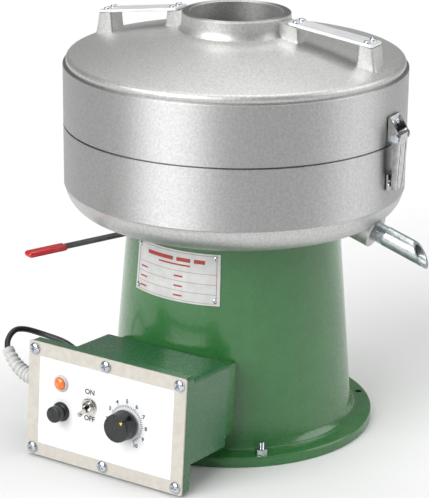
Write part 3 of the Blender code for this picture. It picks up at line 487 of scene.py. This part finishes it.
def make_pedestal():
    """Cast cone with its flange and the pad for the control box, and the plate that closes its foot."""
    outline = [(128.5, 0), (155.6, 0), (156.3, 0.8), (156.3, 9.3)] + arc(154.3, 9.3, 2.0, 10, 90, 4)
    outline += [(142.5, 11.4), (139.2, 12.0), (136.9, 13.4), (135.4, 15.6), (134.2, 18.4)]
    outline += [(cone_r(z) + 0.2, z) for z in (22, 60, 100, 140, 180, 220)]
    outline += [(cone_r(240.7), 240.7), (cone_r(241.7) - 1.2, PEDESTAL_H), (26, PEDESTAL_H), (26, 233.7),
                (cone_r(233.7) - CONE_WALL, 233.7), (cone_r(12) - CONE_WALL, 12), (120, 12), (120, 3.5),
                (128.5, 3.5)]
    pad = slab(rounded(-70, 74, -30, 52, 5), BOX_BACK - 28, BOX_BACK - 0.3)
    core = lathe([(0, 12.2), (cone_r(12) - CONE_WALL, 12.2), (cone_r(233.7) - CONE_WALL, 233.5), (0, 233.5)], 64)
    cuts = [(pad, PANEL, "UNION"), (core, UPRIGHT),
            (rod(10, BOX_BACK - 60, BOX_BACK + 5, 24),
             PANEL @ at(0, 10, 0)),
            (box(-5.9, 15.5, 80, 125, 220.5, 226.5), LEVER_PLACE)]
    cuts += [(rod(3.9, -5, 20, 24), polar(BOLT_CIRCLE_R, a)) for a in range(STUD_ANGLE, 360, 90)]
    piece("pedestal_casting", lathe(outline), "enamel", "base", ["pedestal"], cuts=cuts, bevel=0.6)
    foot = lathe([(0, 0), (127.4, 0), (128.2, 0.8), (128.2, 3.2), (0, 3.2)])
    piece("foot_cover", foot, "enamel_dark", "base", ["bottom_cover"],
          cuts=[(rod(2.6, -5, 9, 16), polar(124.3, a)) for a in (30, 150, 270)])


def make_foot_stud():
    """The threaded hold-down stud and its nut."""
    where = polar(BOLT_CIRCLE_R, STUD_ANGLE)
    profile = [(0, 0.5), (3.2, 0.5)]
    for k in range(12):
        z = 11.5 + k * 1.1
        profile += [(3.2, z), (2.75, z + 0.55)]
    profile += [(3.1, 24.4), (2.6, 25), (0, 25)]
    piece("foot_stud", lathe(profile, 24), "zinc", "base", ["hold_down_stud"], where)
    crown = lathe([(0, 20), (12, 20), (12, 12.5), (6.1, 17.4), (5.4, 17.8), (0, 17.8)], 32)
    piece("foot_nut", slab(hexagon(6.4), 11.6, 17.3), "zinc", "base", ["hold_down_nut"],
          where @ Matrix.Rotation(0.35, 4, "Z"), bevel=0.35,
          cuts=[(crown, where), (rod(3.4, 5, 30, 24), where)])


def make_nameplate():
    """A thin printed plate that follows the cone, with four rivets and no lettering."""
    def panel(a0, a1, low, high, inner, outer, count):
        """A curved sheet between two angles and two heights, and two distances out from the cone."""
        corners = ((low, inner), (low, outer), (high, outer), (high, inner))
        rings = []
        for k in range(count + 1):
            a = math.radians(a0 + (a1 - a0) * k / count)
            d = Vector((math.sin(a), -math.cos(a), 0))
            rings.append([d * (cone_r(z) + out) + Vector((0, 0, z)) for z, out in corners])
        return loft(rings)

    def ink(a0, a1, low, high, count=24):
        return panel(a0, a1, low, high, 1.42, 1.5, count), UPRIGHT

    piece("rating_plate", panel(-26, 26, 168.0, 223.5, 0.5, 1.4, 36), "plate_face", "base",
          ["nameplate"], bevel=0.15, segments=1)
    rules = [ink(-24.3, 24.3, z, z + 0.5) for z in (170.0, 179.8, 190.3, 201.2, 221.0)]
    rules += [ink(a, a + 0.35, 170.0, 221.5, 2) for a in (-24.3, 23.95)]
    piece("rating_plate_rules", merged(rules), "pink_ink", "base")
    heading = [(a, a + w, 211.8, 216.0) for a, w in ((-17, 17), (2, 8), (12, 6))] + [(-9, 10, 207.2, 208.9)]
    fields = [(a, a + 5, z, z + 1.8) for z in (174.0, 184.2, 194.8) for a in (-22, 1)]
    bars = [ink(*bar) for bar in (*heading, *fields)]
    piece("rating_plate_bars", merged(bars), "red_ink", "base")
    rivet = [(0, -1), (2.7, -1), (2.7, 0.3), (2.2, 1.0), (1.3, 1.3), (0.9, 1.0), (0.8, -0.6), (0, -0.6)]
    places = []
    for a in (-23.6, 23.6):
        for z in (173.7, 219.0):
            d = Vector((math.sin(math.radians(a)), -math.cos(math.radians(a)), CONE_TAPER)).normalized()
            spot = Vector((d.x, d.y, 0)).normalized() * (cone_r(z) + 1.4) + Vector((0, 0, z))
            places.append(Matrix.Translation(spot * MM) @ d.to_track_quat("Z", "Y").to_matrix().to_4x4())
    scatter("rating_plate_rivets", mesh_of(lathe(rivet, 20)), places, "zinc", "base")


# ---------------------------------------------------------------- bowl housing

SPOUT_DROP = 19  # degrees below level
SPOUT_LENGTH = 54.5  # to the middle of its cut end
SPOUT = HOUSING @ (Matrix.Translation((0.170, 0, 0.2403)) @ Matrix.Rotation(math.radians(90 + SPOUT_DROP), 4, "Y"))
HOUSING_R = 184
TURNED_FROM_Z = 270.5  # the turned cylinder starts above the cast underside
PARTING_Z = 337
GROOVE_R = 179.5  # floor of the groove at the parting line
GROOVE_H = 0.8  # half the groove's height


def make_lower_housing():
    """The lower casting, with a drain channel round its middle and a boss for the spout."""
    edge = PARTING_Z - GROOVE_H
    outline = [(45, 242.1)] + arc(152, 273.3, 31.2, -90, -7, 16)
    outline += [(HOUSING_R - 0.4, TURNED_FROM_Z), (HOUSING_R, TURNED_FROM_Z + 0.5), (HOUSING_R, edge - 0.4),
                (HOUSING_R - 0.4, edge), (GROOVE_R, edge), (GROOVE_R, PARTING_Z - 0.15), (177.2, PARTING_Z - 0.15)]
    outline += [(177.2, 272), (175.5, 263), (172, 256), (166, 252), (160, 250.3), (60, 250.3), (52, 256),
                (52, 286), (45, 286)]
    channel = [(52.2, 256), (60, 250.5), (160, 250.5), (166, 252.2), (172, 256.2), (175.5, 263), (177, 272),
               (177, 345), (52.2, 345)]
    cuts = [(lathe([(0, -50), (19, -50), (19, -0.8), (18.2, 0), (0, 0)], 48), SPOUT, "UNION"),
            (lathe(channel, 96), UPRIGHT),
            (rod(10.95, -10, 20, 40), SPOUT),
            (rod(8, -42, 20, 32), SPOUT)]
    obj = piece("bowl_housing", lathe(outline), ["cast", "machined"], "base",
                ["lower_housing"], cuts=cuts, bevel=0.35, sharp=35)
    paint(obj, lambda c: 1 if c.z > TURNED_FROM_Z * MM - 1e-5 and math.hypot(c.x, c.y) > 0.180 else 0)


def post(low, high, z0, z1):
    """A cast handle post that flares at its foot, between two radial extents."""
    rings = []
    for t in (0, 0.12, 0.3, 0.55, 0.8, 1.0):
        flare = (1 - t) ** 4
        x0 = low[0] + (high[0] - low[0]) * t - 3.0 * flare
        x1 = low[1] + (high[1] - low[1]) * t + 3.0 * flare
        w = BAR_HALF_W + 2.0 * flare
        rings.append([(x, y, z0 + (z1[0 if x < (x0 + x1) / 2 else 1] - z0) * t)
                      for x, y in rounded(x0, x1, -w, w, 3.0, 4)])
    return loft(rings)


BAR_IN, BAR_OUT = Vector((66.4, 454.1)), Vector((163.3, 440.8))
BAR_ANGLE = math.atan2(BAR_IN.y - BAR_OUT.y, BAR_OUT.x - BAR_IN.x)
BAR_T = 3.0
BAR_HALF_W = 12.5


def under_bar(r):
    """Height of a post's top, just clear of the bar's underside."""
    return BAR_IN.y + (BAR_OUT.y - BAR_IN.y) * (r - BAR_IN.x) / (BAR_OUT.x - BAR_IN.x) - BAR_T - 0.3


NECK_BORE_R = 49.6
LEDGE_Z = 401.6  # machined ledge at the foot of the dome


def make_cover():
    """Domed cover with its neck, handle posts and bars."""
    edge = PARTING_Z + GROOVE_H
    shoulder = arc(175, 405.5, 5.8, 0, 77, 7)
    outline = [(NECK_BORE_R, 428), (NECK_BORE_R, 455.4), (50.3, 456.1), (57.3, 456.1), (58.1, 455.2), (58.4, 446),
               (59.2, 440.5), (61.6, 437.2), (66, 435.4), (88, 431.7), (110, 427.5)] + shoulder[::-1]
    outline += [(180.6, 403.4), (179.6, 402.9), (179.6, LEDGE_Z), (183.4, LEDGE_Z), (HOUSING_R, LEDGE_Z - 0.6),
                (HOUSING_R, edge + 0.4), (HOUSING_R - 0.4, edge), (GROOVE_R, edge), (GROOVE_R, PARTING_Z + 0.15),
                (176.6, PARTING_Z + 0.15), (176.6, 331), (171.5, 331), (171.5, 345), (177, 352), (177, 394),
                (170, 402.5), (110, 419.5)]
    cuts = []
    for side in (HOUSING, OTHER_SIDE):
        for low, high, foot in (((56, 80.5), (54, 78.5), 428), ((145, 167.5), (147.5, 163.7), 408)):
            cuts.append((post(low, high, foot, [under_bar(r) for r in high]), side, "UNION"))
    cuts.append((rod(NECK_BORE_R, 400, 470, 144), UPRIGHT))
    obj = piece("cover_casting", lathe(outline), ["cast", "machined"], "cover",
                ["housing_cover"], cuts=cuts, bevel=0.5, sharp=35)

    def turned(c):
        r = math.hypot(c.x, c.y)
        return (c.z < (LEDGE_Z + 0.2) * MM and r > 0.179) or (c.z > 0.4558 and r < 0.0585)

    paint(obj, lambda c: 1 if turned(c) else 0)
    length = (BAR_OUT - BAR_IN).length
    screw = pan_screw(3.7, 1.9)
    for n, side in enumerate((HOUSING, OTHER_SIDE), 1):
        tilt = side @ at(BAR_IN.x, 0, BAR_IN.y) @ Matrix.Rotation(BAR_ANGLE, 4, "Y")
        bar = slab(rounded(0, length, -BAR_HALF_W, BAR_HALF_W, 2.2), -BAR_T, 0)
        piece(f"handle_{n}", bar, "flat_bar", "cover", [f"handle_bar_{n}"], tilt, bevel=0.5)
        spots = [tilt @ at(x, y, 0.6, turn) for x, y, turn in
                 ((7.5, -6.8, 20), (7.5, 6.8, 50), (length - 8, -6.8, 5), (length - 8, 6.8, 70))]
        scatter(f"handle_{n}_screws", screw, spots, "zinc", "cover")


def make_spout():
    """Half-inch pipe with its thread showing behind a cut that leaves the underside longer."""
    profile = [(7.9, -9.5), (10.0, -9.5)]
    for k in range(12):
        z = -8.6 + 1.81 * k
        profile += [(9.5, z), (10.65, z + 0.9)]
    profile += [(10.65, 16), (10.65, 67), (7.9, 67)]
    mitre = SPOUT @ at(0, 0, SPOUT_LENGTH, -48, "Y")
    piece("drain_pipe", lathe(profile, 64), "galvanised", "base", ["drain_spout"], SPOUT,
          cuts=[(box(-40, 40, -40, 40, 0, 60), mitre)], bevel=0.25)


LATCH_FACE_R = 186.4  # outer face of the bracket and keeper plates


def make_latches():
    """Two draw latches: bracket, fluted channel lever, claw and keeper, with their bolt and screws."""
    screw = pan_screw(3.6, 2.0)
    out = Matrix.Rotation(math.pi / 2, 4, "Y")

    def screws(name, side, z, turns, body):
        places = [side @ at(LATCH_FACE_R, y, z) @ out @ at(0, 0, 0, turn) for y, turn in turns]
        scatter(name, screw, places, "zinc", body)

    for n, side in enumerate((HOUSING, OTHER_SIDE), 1):
        soften(f"latch_bracket_{n}", "bright", "cover", 0.5)
        flutes = [(radial([(196.1, 341), (199, 341), (199, 289), (193.3, 289)], y - 0.7, y + 0.7), side)
                  for y in (-6.2, 6.2)]
        soften(f"latch_lever_{n}", "bright", f"latch_{n}", 0.4, 2, flutes)
        soften(f"latch_claw_{n}", "bright", f"claw_{n}", 0.3)
        soften(f"latch_keeper_{n}", "bright", "base", 0.4)
        pin = side @ at(193, 0, 347.5) @ Matrix.Rotation(math.pi / 2, 4, "X")
        shank = rod(2, -12.9, 12.8, 20)
        bolt = merged([(shank, UPRIGHT), (slab(hexagon(4.9, 0.3), 12.8, 15.8), UPRIGHT)])
        piece(f"latch_bolt_{n}", bolt, "zinc", "cover", [f"latch_pin_{n}"], pin, bevel=0.3)
        screws(f"keeper_{n}_screws", side, 295.2, ((-8.5, 16.5), (8.5, 33.5)), "base")
        screws(f"bracket_{n}_screws", side, 361.0, ((-6.0, 46), (6.0, 34)), "cover")


# ---------------------------------------------------------------- brake

def make_brake():
    """Brake lever and shoe, and the grip dipped on to the lever's end."""
    soften("brake_lever", "dark_steel", "brake", 0.4)
    soften("brake_shoe", "lining", "brake", 0.4)
    rings = []
    for y, grow in ((199, -0.8), (199.4, -0.2), (200.5, 0), (242, 0), (244, -0.8), (245, -2.6)):
        w, t = 6.6 + grow, 3.1 + grow * 0.8
        rings.append([(x, y, 223.5 + z) for x, z in rounded(-w, w, -t, t, min(w, t) * 0.9, 5)])
    hollow = box(-5.3, 5.3, 190, 242.3, 221.7, 225.3)
    piece("brake_grip_dipped", loft(rings), "vinyl", "brake", ["brake_grip"], LEVER_PLACE,
          cuts=[(hollow, LEVER_PLACE)], sharp=50)


# ---------------------------------------------------------------- control box

PLATE = (-115.7, 83.1, -63.0, 63.0)  # x and y limits of the face plate
LAMP, FUSE, TOGGLE, KNOB = (-72.5, 24), (-71.3, -7), (-35.5, 7), (11.8, -1)
POINTER = math.radians(47)  # where the knob's pointer is at rest


def make_box():
    """Cast box behind the face plate, with a side pocket for the lead, cut hollow."""
    x0, x1, y0, y1 = PLATE
    tray = slab(rounded(x0, x1, y0, y1, 4), -14.0, -2.3)
    cuts = [(slab(rounded(-75, 82.8, -34.8, 59, 5), BOX_BACK, -11), PANEL, "UNION"),
            (slab(rounded(-112, -74, -30, 36, 4), -58, -11), PANEL, "UNION"),
            (box(x0 + 14, x1 - 14, y0 + 14, y1 - 14, -11, 5), PANEL),
            (box(-72, 69, -31.8, 49, -77.3, -10), PANEL),
            (box(-109, -60, -27, 33, -55, -10), PANEL),
            (rod(10, -90, -72, 24), PANEL @ at(0, 10, 0)),
            (rod(8, -10, 10, 24),
             PANEL @ at(-112, 5.3, -40) @ Matrix.Rotation(-math.pi / 2, 4, "Y"))]
    piece("control_box_casting", tray, "enamel_dark", "base", ["control_box"], PANEL, bevel=1.6,
          segments=3, cuts=cuts, sharp=45)


def make_panel():
    """Face plate, label and plate screws."""
    x0, x1, y0, y1 = PLATE

    def holes():
        return [(rod(r, -10, 10, 32), on_panel(spot))
                for spot, r in ((LAMP, 5.3), (FUSE, 6.3), (TOGGLE, 6.3), (KNOB, 5))]

    piece("panel_plate", slab(rounded(x0, x1, y0, y1, 2.5), -2, 0), "beige", "base", ["face_plate"],
          PANEL, bevel=0.35, cuts=holes())
    piece("panel_label", slab(rounded(-101, 69, -48.5, 48, 1.0, 3), 0.02, 0.17), "label", "base",
          place=PANEL, cuts=holes())
    screw = pan_screw(6.2, 3.2)
    spots = [PANEL @ at(-16.3 + dx, dy, 0.6, 17 * k) for k, (dx, dy) in
             enumerate([(dx, dy) for dy in (55, -55) for dx in (-91.5, 0, 91.5)])]
    scatter("panel_screws", screw, spots, "zinc", "base", [f"plate_screw_{k}" for k in range(1, 7)])
    make_print()


def text_mesh(text, size):
    """Thin raised type, centred on the origin."""
    data = bpy.data.curves.new("text", "FONT")
    data.body = text
    data.size = size * MM
    data.align_x = "CENTER"
    data.align_y = "CENTER"
    data.extrude = 0.04 * MM
    data.offset = 0.22 * MM
    data.resolution_u = 3
    obj = bpy.data.objects.new("text", data)
    bpy.context.scene.collection.objects.link(obj)
    graph = bpy.context.evaluated_depsgraph_get()
    mesh = bpy.data.meshes.new_from_object(obj.evaluated_get(graph))
    bpy.data.objects.remove(obj)
    bm = bmesh.new()
    bm.from_mesh(mesh)
    bpy.data.meshes.remove(mesh)
    return bm


DIAL_R = 24.4  # radius of the dial's numbers


def make_print():
    """Dial ticks and numbers, and the switch's two words."""
    parts = [(text_mesh("ON", 7.8), at(TOGGLE[0], TOGGLE[1] + 15.5, 0.22)),
             (text_mesh("OFF", 7.8), at(TOGGLE[0] + 0.5, TOGGLE[1] - 13.5, 0.22))]
    for k in range(11):
        a = math.radians(90 - 30 * (k - 5))
        x, y = KNOB[0] + DIAL_R * math.cos(a), KNOB[1] + DIAL_R * math.sin(a)
        parts.append((text_mesh(str(k), 5.9), at(x, y, 0.22)))
    for k in range(51):
        a = 90 - 6 * (k - 25)
        long = k % 5 == 0
        tick = box(17.8, 21.4 if long else 20.2, -0.34, 0.34, 0.17, 0.25)
        parts.append((tick, at(*KNOB, 0) @ Matrix.Rotation(math.radians(a), 4, "Z")))
    piece("panel_print", merged(parts), "ink", "base", place=PANEL)


def make_controls():
    """Pilot lamp and fuse holder, then the toggle and the speed knob."""
    bezel = [(6.9, 0.3), (9, 0.3), (9.0, 1.3), (8.4, 2.2), (7.6, 2.7), (6.9, 2.5)]
    piece("lamp_ring", lathe(bezel, 48), "grey_plastic", "base", ["lamp_bezel"], on_panel(LAMP))
    dome = [(6.6 * math.cos(a), 3.2 + 2.8 * math.sin(a)) for a in map(math.radians, (15, 30, 45, 60, 75))]
    lens = lathe([(0, -22), (5, -22), (5, 0.6), (6.6, 0.6), (6.6, 3.2), *dome, (0, 6.0)], 48)
    piece("lamp_lens", lens, "lens", "base", ["pilot_lamp"], on_panel(LAMP))
    body = [(4.2, -34), (6, -34), (6, 0.3), (10.5, 0.3), (10.5, 1.8), (9.8, 2.6), (8.6, 4.0), (8.2, 4.2),
            (4.2, 4.2)]
    piece("fuse_body", lathe(body, 48), "black_plastic", "base", ["fuse_holder"], on_panel(FUSE))
    cap = [(0, -28), (3.2, -28), (3.2, 3), (3.8, 4.5), (7.4, 4.5), (8.6, 6.6), (8.7, 7.4), (8.7, 13.4)] + arc(
        7.3, 13.9, 1.4, 0, 80, 4) + [(0, 15.6)]
    flutes = [(rod(0.8, 5, 20, 8), on_panel(FUSE) @ polar(9.1, 22.5 * k))
              for k in range(16)]
    piece("fuse_knob", lathe(cap, 64), "black_plastic", "fuse_cap", ["fuse_cap"], on_panel(FUSE),
          cuts=flutes)
    make_toggle()
    make_knob()


def make_toggle():
    """Toggle switch: threaded bush, washer, nut and bat."""
    bush = [(4.7, -2.6), (6, -2.6), (6, 0.3)]
    for k in range(4):
        bush += [(5.95, 2.5 + 0.8 * k), (5.5, 2.9 + 0.8 * k)]
    bush += [(5.6, 6.0), (5.2, 6.0), (4.7, 1.0)]
    can = lathe([(0, -26), (9, -26), (9, -2.6), (4.7, -2.6), (4.6, -1), (0, -1)], 32)
    washer = lathe([(6, 0.25), (9.6, 0.25), (9.6, 0.9), (6, 0.9)], 48)
    nut = slab(hexagon(8.6, 0.2), 0.9, 2.5)
    parts = [(can, UPRIGHT), (lathe(bush, 40), UPRIGHT), (washer, UPRIGHT)]
    piece("toggle_body", merged(parts), "chrome", "base", ["toggle_switch"], on_panel(TOGGLE))
    piece("toggle_nut", nut, "chrome", "base", place=on_panel(TOGGLE), bevel=0.3,
          cuts=[(rod(6, -3, 8, 40), on_panel(TOGGLE))])
    bat = [(0, -1.8), (1.5, -1.0), (1.7, 1.0), (1.8, 4.0), (2.6, 14.0), (2.7, 15.6), (2.4, 17.2), (1.6, 18.2),
           (0, 18.5)]
    piece("toggle_bat", lathe(bat, 32), "chrome", "toggle", ["toggle_lever"],
          on_panel(TOGGLE, 1.2) @ Matrix.Rotation(math.radians(16), 4, "X"))


def make_knob():
    """Round knob with a notch cut in its rim at the pointer, and a paint mark at the notch's point."""
    spot = on_panel(KNOB)
    body = [(3.5, 3.5), (15.6, 3.5), (16, 3.9), (16, 4.8), (15.6, 5.6), (15.0, 18.6), (14.7, 19.4), (14.0, 20.0),
            (0, 20), (0, 12.6), (3.5, 12.6)]
    point = Matrix.Rotation(POINTER, 4, "Z")
    notch = slab([(12.4, 0), (24, 14), (24, -14)], 7.0, 30)
    piece("speed_dial_knob", lathe(body, 72), "black_plastic", "knob", ["speed_knob"], spot,
          cuts=[(notch, spot @ point)], bevel=0.3)
    mark = slab([(8.6, 1.8), (12.2, 0.15), (12.2, -0.15), (8.6, -1.8)], 19.9, 20.08)
    piece("speed_dial_mark", mark, "yellow", "knob", place=spot @ point)


# ---------------------------------------------------------------- lead fittings

RELIEF = [(-135.6, -179.7, 68), (-146, -179.5, 68.6), (-157.5, -178.4, 72.2), (-169, -175.7, 78.6),
          (-180.8, -170.9, 87.8)]


def make_relief():
    """A ribbed, tapered tail round the lead."""
    path = curve_through(RELIEF, 14)
    rings = []
    last = len(path) - 1
    for k, point in enumerate(path):
        along = (path[min(k + 1, last)] - path[max(k - 1, 0)]).normalized()
        side = along.cross(Vector((0, 0, 1))).normalized()
        up = side.cross(along)
        t = k / last
        groove = 1.7 * (0.5 + 0.5 * math.cos(2 * math.pi * t * 9)) ** 2 if 0.05 < t < 0.95 else 0
        r = 9.6 - 3.0 * t - groove
        rings.append([point + side * (r * math.cos(math.pi / 16 * j)) + up * (r * math.sin(math.pi / 16 * j))
                      for j in range(32)])
    piece("lead_relief", loft(rings), "grey_plastic", "base", ["strain_relief"], sharp=60)
    soften("cable_gland", "grey_plastic", "base", 0.4)


PLUG_Z = 11.6  # height of the plug's centreline


def make_plug():
    """Moulded plug with two flat blades."""
    place = at(-89.2, 243.0, 0, 45.8)
    body = []
    for y, w, h in ((0, 4.4, 4.4), (6, 5.0, 5.0), (7, 7.0, 6.4), (14, 12.0, 9.6), (18, 13.0, 10.9),
                    (34, 13.0, 11.1), (35.6, 12.2, 10.4), (36, 11.4, 9.6)):
        body.append([(x, y, PLUG_Z + z) for x, z in rounded(-w, w, -h, h, min(w, h) * 0.55, 5)])
    blade = [(-0.8, 30), (0.8, 30), (0.8, 52.4), (0.4, 53), (-0.4, 53), (-0.8, 52.4)]
    blades = [(slab(blade, 7.6, 14), at(x, 0, 0)) for x in (-6.35, 6.35)]
    shell = piece("plug_body", loft(body), "cord_rubber", "base", ["mains_plug"], place)
    prongs = piece("plug_blades", merged(blades), "bright", "base", place=place, bevel=0.2)
    return [shell, prongs]


# ---------------------------------------------------------------- the rest of the frame

CARRIED = {  # inside pieces that keep their CAD shape
    "bearing_housing": "cast", "lower_bearing": "zinc", "upper_bearing": "zinc", "motor": "dark_steel",
    "motor_mount": "zinc", "brake_pivot_bolt": "zinc", "potentiometer": "zinc", "speed_control_board": "board",
    "spindle": "zinc", "brake_drum": "dark_steel", "slinger": "zinc", "rotor_bowl": "machined",
    "filter_ring": "paper", "bowl_lid": "machined", "bowl_nut": "zinc", "speed_shaft": "zinc",
}


def dress_frame():
    for node, look in CARRIED.items():
        mesh = NODES[node].data
        mesh.materials.clear()
        mesh.materials.append(finish(look))


# ---------------------------------------------------------------- stage

FLOOR_HALF = 6  # metres


def make_floor():
    mesh = bpy.data.meshes.new("floor")
    h = FLOOR_HALF
    mesh.from_pydata([(-h, -h, 0), (h, -h, 0), (h, h, 0), (-h, h, 0)], [], [(0, 1, 2, 3)])
    obj = bpy.data.objects.new("floor", mesh)
    bpy.context.scene.collection.objects.link(obj)
    mesh.materials.append(finish("floor"))


def soft_sun(name, azimuth, elevation, width, strength):
    """A broad, even light from a compass angle (from the front towards +X) and a height, in degrees."""
    data = bpy.data.lights.new(name, "SUN")
    data.angle = math.radians(width)
    data.energy = strength
    obj = bpy.data.objects.new(name, data)
    a, e = math.radians(azimuth), math.radians(elevation)
    source = Vector((math.sin(a) * math.cos(e), -math.cos(a) * math.cos(e), math.sin(e)))
    obj.matrix_world = source.to_track_quat("Z", "Y").to_matrix().to_4x4()
    bpy.context.scene.collection.objects.link(obj)


def make_stage():
    """White floor and pale surroundings, lit from the left and right of the camera and from above."""
    make_floor()
    bpy.context.scene.view_settings.view_transform = "Standard"
    world = bpy.data.worlds.new("studio")
    bpy.context.scene.world = world
    world.use_nodes = True
    background = world.node_tree.nodes["Background"]
    background.inputs["Color"].default_value = (1, 1, 1, 1)
    background.inputs["Strength"].default_value = 0.24
    soft_sun("key", -13, 32, 48, 2.9)
    soft_sun("fill", 122, 26, 44, 1.1)
    soft_sun("top", 200, 74, 60, 1.5)


def main():
    make_camera()
    cord, exit_point, length = make_cord()
    plug = make_plug()
    make_pedestal()
    make_foot_stud()
    make_nameplate()
    make_lower_housing()
    make_cover()
    make_spout()
    make_latches()
    make_brake()
    make_box()
    make_panel()
    make_controls()
    make_relief()
    dress_frame()
    make_stage()


main()
